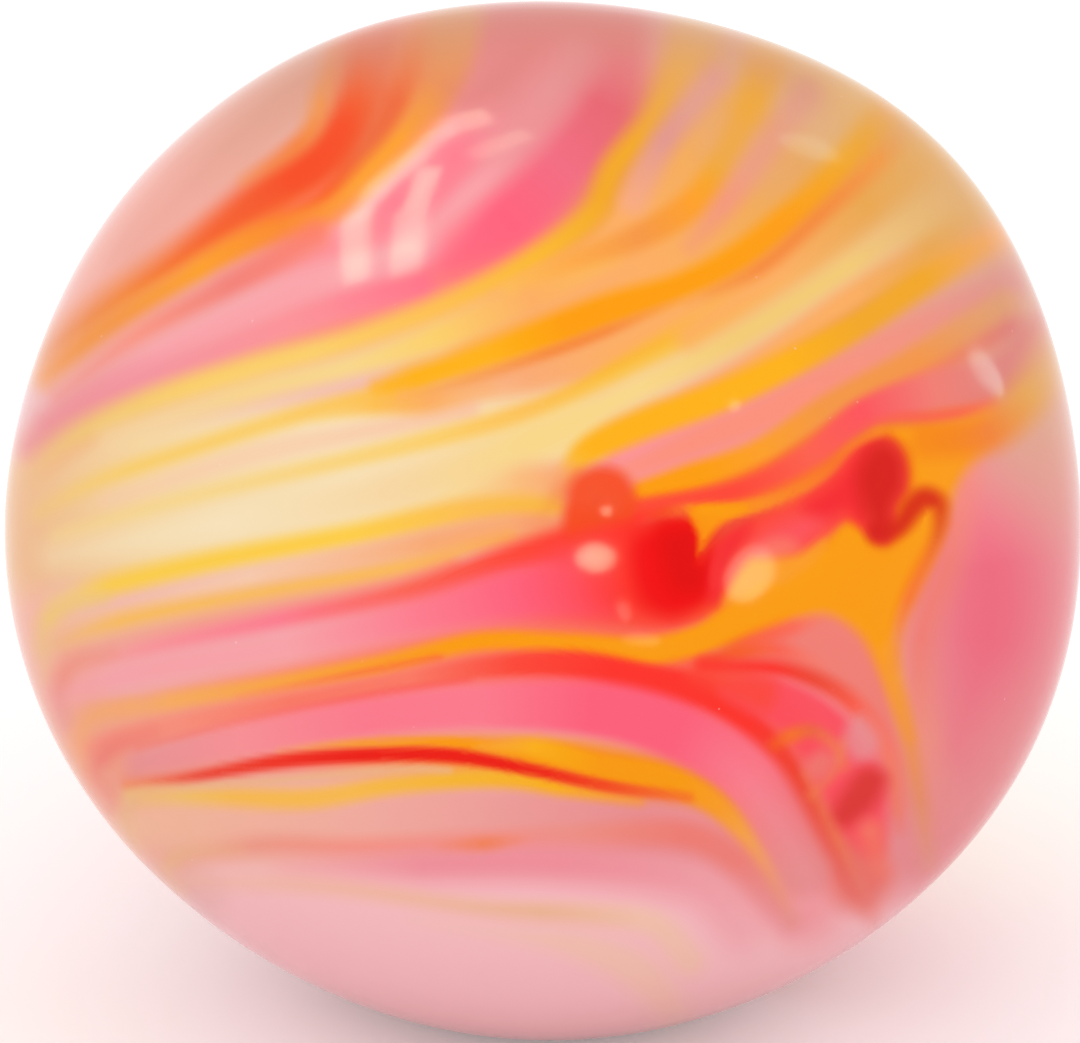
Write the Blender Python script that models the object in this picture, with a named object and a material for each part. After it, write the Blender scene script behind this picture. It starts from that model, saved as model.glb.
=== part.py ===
"""Squishy ball: a marbled soft-rubber skin full of dough, closed at the back by a glued-in filler plug.

Metres, +Z up. The origin is the middle of the flat that the soft ball settles on. The front faces -Y,
and the filler plug closes the back, on the +Y side, level with the middle of the ball.
"""

import math
from typing import NamedTuple

import bmesh
import bpy
from mathutils import Vector

# Ball, outside, before it settles on its flat
BALL_WIDTH = 0.0700
BALL_DEPTH = 0.0700
BALL_HEIGHT = 0.0674

# Flat that the ball settles on: how far the underside is pressed in, and the rounding of its edge
REST_SAG = 0.0020
REST_ROUNDING = 0.0006

# Skin
SKIN_WALL = 0.0022

# Clearance between pieces that touch on the real ball
FIT_GAP = 0.0003

# Filler plug: a thin domed head, a stem through the filling hole and a barb that holds it inside
HEAD_RADIUS = 0.0060
HEAD_RIM = 0.0014
STEM_RADIUS = 0.0032
BARB_RADIUS = 0.0048
BARB_SHOULDER = 0.0012
BARB_LENGTH = 0.0062
TIP_RADIUS = 0.0022
TIP_ROUNDING = 0.0008

# Bead of sealant in the groove round the plug's head
BEAD_WIDTH = 0.0010
BEAD_CROWN = 0.0004

# Collar moulded inside the skin round the filling hole: its width past the plug's seat, how far it
# stands in from the skin, and the least web left under the seat
COLLAR_WIDTH = 0.0016
COLLAR_RISE = 0.0012
SEAT_WEB = 0.0018

# Mesh density, and the angle past which an edge shows as sharp
SEGMENTS = 48
OUTER_RINGS = 28
INNER_RINGS = 28
HEAD_RINGS = 4
CROWN_POINTS = 5
BISECTIONS = 50
SHARP_ANGLE = math.radians(35)


class Lump(NamedTuple):
    """A swell or a hollow that a hand left in the ball."""

    name: str
    angle: float  # degrees round the lumps' ring, from +X towards the top
    height: float  # out of the ball, or into it where it is negative
    spread: float  # degrees


# The lumps lie on a ring round the ball that leans back by this angle
LUMP_LEAN = math.radians(22)
LUMPS = (
    Lump("upper_right_shoulder", 43, 0.00140, 24),
    Lump("right_hip", 336, 0.00052, 24),
    Lump("lower_left_hollow", 236, -0.00055, 28),
    Lump("left_cheek_hollow", 161, -0.00038, 18),
    Lump("top_swell", 113, 0.00025, 14),
)

MIDDLE = Vector((0, 0, BALL_HEIGHT / 2 - REST_SAG))
TURNS = [2 * math.pi * k / SEGMENTS for k in range(SEGMENTS)]


def soft_floor(z, floor):
    """The height z kept above a floor, with a rounded change from the floor to the wall."""
    above = z - floor
    if above >= REST_ROUNDING:
        return z
    if above <= -REST_ROUNDING:
        return floor
    return floor + (above + REST_ROUNDING) ** 2 / (4 * REST_ROUNDING)


def lump_axis(lump):
    angle = math.radians(lump.angle)
    up = Vector((0, math.sin(LUMP_LEAN), math.cos(LUMP_LEAN)))
    return Vector((1, 0, 0)) * math.cos(angle) + up * math.sin(angle)


def ball_point(polar, turn, inset):
    """A point of the ball's surface moved in by inset. polar is the angle at the ball's middle from the
    front, and turn the angle round the plug's axis from +X."""
    way = Vector(
        (
            math.sin(polar) * math.cos(turn),
            -math.cos(polar),
            math.sin(polar) * math.sin(turn),
        )
    )
    half = (BALL_WIDTH / 2 - inset, BALL_DEPTH / 2 - inset, BALL_HEIGHT / 2 - inset)
    reach = 1 / math.sqrt(sum((w / h) ** 2 for w, h in zip(way, half)))
    for lump in LUMPS:
        away = way.angle(lump_axis(lump)) / math.radians(lump.spread)
        reach += lump.height * math.exp(-(away**2))
    point = MIDDLE + way * reach
    point.z = soft_floor(point.z, inset)
    return point


def plug_distance(point):
    """How far a point is from the plug's axis."""
    return math.hypot(point.x - MIDDLE.x, point.z - MIDDLE.z)


def back_angle(radius, turn, inset):
    """The polar angle, at the back of the ball, where the surface is this far from the plug's axis."""
    low, high = math.pi / 2, math.pi
    for _ in range(BISECTIONS):
        polar = (low + high) / 2
        if plug_distance(ball_point(polar, turn, inset)) > radius:
            low = polar
        else:
            high = polar
    return (low + high) / 2


def back_y(radius, inset=0.0):
    """The lowest Y of the ball's back at this distance from the plug's axis."""
    return min(ball_point(back_angle(radius, t, inset), t, inset).y for t in TURNS)


def ball_rings(inset, rim_radius, count):
    """Rings of the ball's surface, moved in by inset, from the front to a round rim at the back."""
    rims = [back_angle(rim_radius, t, inset) for t in TURNS]
    return [
        [ball_point(rim * j / count, t, inset) for rim, t in zip(rims, TURNS)]
        for j in range(1, count + 1)
    ]


def round_ring(radius, y):
    """A ring of points round the plug's axis."""
    return [
        Vector((MIDDLE.x + radius * math.cos(t), y, MIDDLE.z + radius * math.sin(t)))
        for t in TURNS
    ]


# Where the port's pieces lie, from the outside in: radii round the plug's axis, and places along Y
SEAT_RADIUS = HEAD_RADIUS + FIT_GAP + BEAD_WIDTH + FIT_GAP
HOLE_RADIUS = STEM_RADIUS + FIT_GAP
COLLAR_RADIUS = SEAT_RADIUS + COLLAR_WIDTH
SEAT_RIM_Y = back_y(SEAT_RADIUS)
SEAT_FLOOR_Y = SEAT_RIM_Y - HEAD_RIM - FIT_GAP
COLLAR_END_Y = min(SEAT_FLOOR_Y - SEAT_WEB, back_y(COLLAR_RADIUS, SKIN_WALL) - COLLAR_RISE)
BARB_BACK_Y = COLLAR_END_Y - FIT_GAP
BARB_TIP_Y = BARB_BACK_Y - BARB_LENGTH


def skin_over(bm, first, second):
    """Faces between two rings of points. Each splits into triangles from its corner nearest the front,
    so that a surface and the one that lies over it split alike and keep their distance."""
    count = len(first)
    for k in range(count):
        after = (k + 1) % count
        corners = (first[k], first[after], second[after], second[k])
        if first[k].co.y > second[k].co.y:
            corners = corners[1:] + corners[:1]
        bm.faces.new(corners)


def solid_of_rings(name, material, rings, poles=None):
    """An object whose surface runs over the rings in turn. It starts and ends at the two poles, or
    without them runs from the last ring back to the first."""
    bm = bmesh.new()
    loops = [[bm.verts.new(p) for p in ring] for ring in rings]
    for first, second in zip(loops, loops[1:]):
        skin_over(bm, first, second)
    if poles is None:
        skin_over(bm, loops[-1], loops[0])
    else:
        for pole, loop, way in ((poles[0], loops[0], 1), (poles[1], loops[-1], -1)):
            tip = bm.verts.new(pole)
            for a, b in zip(loop, loop[1:] + loop[:1]):
                bm.faces.new((tip, b, a) if way > 0 else (tip, a, b))
    bmesh.ops.recalc_face_normals(bm, faces=bm.faces)
    mesh = bpy.data.meshes.new(name)
    bm.to_mesh(mesh)
    bm.free()
    mesh.shade_smooth()
    mesh.set_sharp_from_angle(angle=SHARP_ANGLE)
    mesh.materials.append(material)
    made = bpy.data.objects.new(name, mesh)
    bpy.context.scene.collection.objects.link(made)
    return made


def material(name, colour, roughness, subsurface=0.0, transmission=0.0):
    made = bpy.data.materials.new(name)
    made.use_nodes = True
    shader = made.node_tree.nodes["Principled BSDF"]
    shader.inputs["Base Color"].default_value = (*colour, 1)
    shader.inputs["Roughness"].default_value = roughness
    shader.inputs["Metallic"].default_value = 0
    shader.inputs["Subsurface Weight"].default_value = subsurface
    shader.inputs["Transmission Weight"].default_value = transmission
    return made


def make_skin():
    """The moulded skin: the outside, the plug's seat, the filling hole, its collar and the inside."""
    outside = ball_rings(0, SEAT_RADIUS, OUTER_RINGS)
    port = [
        round_ring(SEAT_RADIUS, SEAT_FLOOR_Y),
        round_ring(HOLE_RADIUS, SEAT_FLOOR_Y),
        round_ring(HOLE_RADIUS, COLLAR_END_Y),
        round_ring(COLLAR_RADIUS, COLLAR_END_Y),
    ]
    inside = ball_rings(SKIN_WALL, COLLAR_RADIUS, INNER_RINGS)
    fronts = (ball_point(0, 0, 0), ball_point(0, 0, SKIN_WALL))
    rubber = material("marbled_rubber", (0.93, 0.42, 0.36), 0.22, subsurface=0.3)
    return solid_of_rings("skin", rubber, outside + port + inside[::-1], fronts)


def make_filling():
    """The dough: it fills the skin, and closes round the collar and the plug's barb."""
    inset = SKIN_WALL + FIT_GAP
    outside = ball_rings(inset, COLLAR_RADIUS + FIT_GAP, INNER_RINGS)
    pocket = [
        round_ring(COLLAR_RADIUS + FIT_GAP, COLLAR_END_Y - FIT_GAP),
        round_ring(BARB_RADIUS + FIT_GAP, COLLAR_END_Y - FIT_GAP),
        round_ring(BARB_RADIUS + FIT_GAP, BARB_BACK_Y - BARB_SHOULDER - FIT_GAP),
        round_ring(TIP_RADIUS + FIT_GAP, BARB_TIP_Y - FIT_GAP),
    ]
    ends = (ball_point(0, 0, inset), MIDDLE + Vector((0, BARB_TIP_Y - FIT_GAP, 0)))
    dough = material("dough", (0.90, 0.80, 0.70), 0.6, subsurface=0.2)
    return solid_of_rings("filling", dough, outside + pocket, ends)


def make_plug():
    """The filler plug, from the tip of its barb out to its head, which carries on the ball's curve."""
    barb = [
        round_ring(TIP_RADIUS - TIP_ROUNDING, BARB_TIP_Y),
        round_ring(TIP_RADIUS, BARB_TIP_Y + TIP_ROUNDING),
        round_ring(BARB_RADIUS, BARB_BACK_Y - BARB_SHOULDER),
        round_ring(BARB_RADIUS, BARB_BACK_Y),
    ]
    stem = [
        round_ring(STEM_RADIUS, BARB_BACK_Y),
        round_ring(STEM_RADIUS, SEAT_FLOOR_Y + FIT_GAP),
    ]
    face_radii = [HEAD_RADIUS * (HEAD_RINGS - j) / HEAD_RINGS for j in range(HEAD_RINGS)]
    head = [round_ring(HEAD_RADIUS, SEAT_FLOOR_Y + FIT_GAP)]
    head += [round_ring(radius, back_y(radius)) for radius in face_radii]
    ends = (MIDDLE + Vector((0, BARB_TIP_Y, 0)), ball_point(math.pi, 0, 0))
    rubber = material("plug_rubber", (0.92, 0.50, 0.46), 0.35, subsurface=0.2)
    return solid_of_rings("filler_plug", rubber, barb + stem + head, ends)


def make_bead():
    """The sealant in the groove between the plug's head and its seat, crowned a little at the top."""
    inner = HEAD_RADIUS + FIT_GAP
    bottom = SEAT_FLOOR_Y + FIT_GAP
    crown = [math.pi * j / (CROWN_POINTS - 1) for j in range(CROWN_POINTS)]
    rings = [round_ring(inner + BEAD_WIDTH, bottom)]
    for angle in crown:
        across = BEAD_WIDTH / 2 * (1 + math.cos(angle))
        rings.append(round_ring(inner + across, SEAT_RIM_Y + BEAD_CROWN * math.sin(angle)))
    rings.append(round_ring(inner, bottom))
    sealant = material("sealant", (0.95, 0.86, 0.82), 0.12, transmission=0.4)
    return solid_of_rings("sealant_bead", sealant, rings)


def main():
    for old in list(bpy.data.objects):
        bpy.data.objects.remove(old)
    ball = bpy.data.objects.new("ball", None)
    plug_end = bpy.data.objects.new("plug_end", None)
    for empty in (ball, plug_end):
        bpy.context.scene.collection.objects.link(empty)
    plug_end.parent = ball
    plug_end.location = MIDDLE  # on the axis that the plug slides along
    for piece in (make_skin(), make_filling()):
        piece.parent = ball
    for piece in (make_plug(), make_bead()):
        piece.parent = plug_end
        piece.location = -plug_end.location


main()
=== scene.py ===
"""Looks of the squishy ball: a glossy, milky rubber skin marbled in cream, yellow, orange, pink and red.

The marbling is painted on the points of the skin. Each streak and patch of pigment is given where it lies
in the picture and is carried on to the ball's front along the lines of sight. The back shows the same
bands, turned and warped. Its colours hold painted shade towards the edge of the view and at the top,
and painted light at the bottom.
"""

import math
from typing import NamedTuple

import bpy
import numpy as np
from mathutils import Matrix, Vector


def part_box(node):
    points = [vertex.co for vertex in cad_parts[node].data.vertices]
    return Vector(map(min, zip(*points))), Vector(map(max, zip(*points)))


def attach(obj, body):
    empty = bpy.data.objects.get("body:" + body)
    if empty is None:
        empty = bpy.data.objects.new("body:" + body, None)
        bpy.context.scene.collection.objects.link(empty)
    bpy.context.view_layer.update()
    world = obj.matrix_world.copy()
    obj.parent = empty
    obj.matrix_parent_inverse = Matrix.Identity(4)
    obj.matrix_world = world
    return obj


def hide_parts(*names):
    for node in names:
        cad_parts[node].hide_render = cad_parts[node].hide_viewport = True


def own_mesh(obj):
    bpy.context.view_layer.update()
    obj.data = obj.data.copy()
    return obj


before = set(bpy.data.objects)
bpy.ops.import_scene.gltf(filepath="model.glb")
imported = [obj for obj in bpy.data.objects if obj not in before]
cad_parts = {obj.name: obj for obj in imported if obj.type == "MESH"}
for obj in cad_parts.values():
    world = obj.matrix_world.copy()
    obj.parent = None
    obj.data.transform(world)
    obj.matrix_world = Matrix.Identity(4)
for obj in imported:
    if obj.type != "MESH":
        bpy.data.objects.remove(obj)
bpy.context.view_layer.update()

MM = 0.001

# Picture: its width in pixels and at the ball, the place of the ball's middle, and the camera
PICTURE_WIDTH = 1080
PICTURE_SPAN = 70.4 * MM
PIXEL = PICTURE_SPAN / PICTURE_WIDTH
BALL_MIDDLE_X = 541
BALL_MIDDLE_Y = 521
VIEW_ELEVATION = math.radians(22)
CAMERA_DISTANCE = 0.9
CAMERA_CLIP = (0.05, 20.0)  # nearest and farthest that it sees
SENSOR_WIDTH = 36.0  # in millimetres, as the camera takes it

# Ball, from the frame: the plug's axis runs through its middle, and its front has no lump
PLUG_BOX = [Vector(corner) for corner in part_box("filler_plug")]
BEAD_BOX = [Vector(corner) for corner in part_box("sealant_bead")]
SKIN_BOX = [Vector(corner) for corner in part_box("skin")]
FILLING_BOX = [Vector(corner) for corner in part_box("filling")]
REST_SAG = 2.0 * MM
REST_ROUNDING = 0.6 * MM
FIT_GAP = 0.3 * MM
MIDDLE = Vector((0, 0, (PLUG_BOX[0].z + PLUG_BOX[1].z) / 2))
HALF_SIZES = Vector((-SKIN_BOX[0].y, -SKIN_BOX[0].y, MIDDLE.z + REST_SAG))
SKIN_WALL = FILLING_BOX[0].z - FIT_GAP
FRONT = np.array([0.0, -1.0, 0.0])

# Port at the back, from the frame, and the sizes of it that no box gives
SEAT_RADIUS = BEAD_BOX[1].x + FIT_GAP
SEAT_FLOOR = BEAD_BOX[0].y - FIT_GAP
HEAD_RADIUS = PLUG_BOX[1].x
LIP_RADIUS = 0.35 * MM
HOLE_RADIUS = 3.5 * MM
STEM_RADIUS = 3.2 * MM
COLLAR_RADIUS = SEAT_RADIUS + 1.6 * MM
COLLAR_RISE = 1.2 * MM
SEAT_WEB = 1.8 * MM
BARB_RADIUS = 4.8 * MM
BARB_SHOULDER = 1.2 * MM
BARB_LENGTH = 6.2 * MM
TIP_RADIUS = 2.2 * MM
TIP_ROUNDING = 0.8 * MM
HEAD_ROUNDING = 0.4 * MM
GATE_RADIUS = 1.5 * MM
GATE_DEPTH = 0.35 * MM
BEAD_CLEAR = 0.06 * MM
BEAD_CROWN = 0.45 * MM
BEAD_SWELLS = ((0.16, 2, 0.8), (0.10, 5, 2.2), (0.06, 9, 0.0))  # height, how often round, and phase
POCKET_SPARE = 4.0 * MM
POCKET_END_RADIUS = BARB_RADIUS / 2

# View of the ball: right, up and towards the viewer
RIGHT = Vector((1, 0, 0))
UP = Vector((0, math.sin(VIEW_ELEVATION), math.cos(VIEW_ELEVATION)))
TOWARDS = Vector((0, -math.cos(VIEW_ELEVATION), math.sin(VIEW_ELEVATION)))

# Mesh density
ZONES = (  # angle from the front to which each zone runs, and the spacing of its points
    (math.radians(78), 0.36 * MM),
    (math.radians(115), 0.6 * MM),
    (math.radians(150), 0.55 * MM),
)
WIDEST_SPACING = 1.15  # times its zone's spacing, past which a ring gets twice the points
LEAST_SEGMENTS = 80
MOST_SEGMENTS = 640
BACK_SEGMENTS = 320
BACK_RINGS = 22
LIP_STEPS = 3
INNER_SEGMENTS = 80
INNER_RINGS = 32
BISECTIONS = 40
TURNED_SEGMENTS = 120
DOUGH_SEGMENTS = 120
DOUGH_RINGS = 60
ROUNDING_STEPS = 4
CROWN_RINGS = 16
BEAD_POINTS = 11
SHARP_ANGLE = math.radians(40)


class Lump(NamedTuple):
    """A swell or a hollow that a hand left in the ball."""

    name: str
    angle: float  # degrees round the edge that the viewer sees, from the right towards the top
    height: float  # millimetres out of the ball, or into it where it is negative
    spread: float  # degrees


LUMPS = (
    Lump("upper_right_shoulder", 43, 1.40, 24),
    Lump("right_hip", 336, 0.52, 24),
    Lump("lower_left_hollow", 236, -0.55, 28),
    Lump("left_cheek_hollow", 161, -0.38, 18),
    Lump("top_swell", 113, 0.25, 14),
)


class Streak(NamedTuple):
    """Pigment along a curve, which the back shows again, turned and warped."""

    name: str
    colours: tuple  # evenly along the curve
    strengths: tuple  # evenly along the curve
    soft: float  # width of its blurred edge, in the picture's pixels
    path: tuple  # places in the picture's pixels: across, down, and half the width there


class FrontStreak(Streak):
    """Pigment along a curve on the front only."""


class Patch(NamedTuple):
    """Pigment inside a closed curve on the front."""

    name: str
    colour: tuple
    strength: float
    soft: float  # width of its blurred edge, in the picture's pixels
    outline: tuple  # places in the picture's pixels: across and down


# Pigments, in sRGB. Those marked below as painted shade are duller, darker colours for the edge of the view
MILK = (247, 226, 188)
CREAM = (246, 214, 162)
STRAW = (247, 214, 138)
BUTTER = (250, 206, 108)
YELLOW = (253, 206, 76)
HONEY = (251, 190, 84)
GOLD = (249, 184, 56)
AMBER = (253, 178, 36)
ORANGE = (253, 158, 22)
MARIGOLD = (252, 160, 48)
APRICOT = (250, 174, 100)
PEACH = (249, 188, 126)
BISQUE = (248, 204, 172)
SHELL = (247, 190, 160)
SAND = (240, 186, 140)
# painted shade: duller and darker, for where streaks reach the edge of the view
BUFF = (228, 178, 122)
# painted shade: duller and darker, for where streaks reach the edge of the view
OCHRE = (234, 168, 84)
BRASS = (242, 168, 46)
# painted shade: duller and darker, for where streaks reach the edge of the view
TAN = (226, 164, 112)
COPPER = (244, 152, 74)
TANGERINE = (250, 140, 46)
FLAME = (250, 118, 48)
EMBER = (248, 98, 46)
BRICK = (246, 80, 42)
RUST = (238, 110, 66)
CLAY = (234, 146, 92)
TERRACOTTA = (228, 124, 92)
PALE = (241, 184, 184)
# pale pink pigment, painted lighter for the bottom: painted light from below
MAUVE = (252, 195, 200)
BLUSH = (245, 176, 164)
ROSE = (249, 164, 170)
PINK = (250, 148, 154)
CANDY = (253, 126, 144)
HOT_PINK = (254, 100, 126)
NEON = (254, 82, 96)
ORCHID = (244, 148, 160)
FUCHSIA = (240, 110, 130)
DUSK = (236, 146, 150)
# painted shade: duller and darker, for where streaks reach the edge of the view
DUSTY = (224, 150, 146)
# painted shade: duller and darker, for where streaks reach the edge of the view
HAZE = (224, 132, 126)
SALMON = (250, 146, 126)
FADED_SALMON = (242, 148, 132)
CORAL = (251, 124, 104)
FADED_CORAL = (242, 128, 118)
MELON = (252, 100, 82)
POPPY = (253, 76, 62)
RED = (254, 58, 50)
CHERRY = (252, 88, 96)
SIGNAL = (242, 56, 42)
SCARLET = (240, 40, 32)
CRIMSON = (242, 26, 30)
BLOOD = (226, 22, 22)
WINE = (216, 40, 36)
GARNET = (222, 58, 54)
CARMINE = (246, 50, 56)
BRICK_RED = (240, 78, 60)
CARAMEL = (246, 132, 86)
PAPAYA = (251, 168, 74)
ADOBE = (244, 134, 62)
DULL_CORAL = (238, 108, 98)
NUDE = (244, 168, 142)
WHEAT = (242, 202, 118)
MAROON = (220, 56, 30)
RUSSET = (226, 90, 34)
CANTALOUPE = (248, 170, 118)
# painted shade: duller and darker, for where streaks reach the edge of the view
STONE = (226, 168, 146)
PUMPKIN = (247, 128, 26)
BERRY = (230, 100, 112)
SHADE = (200, 130, 110)

GROUND = PALE

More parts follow.
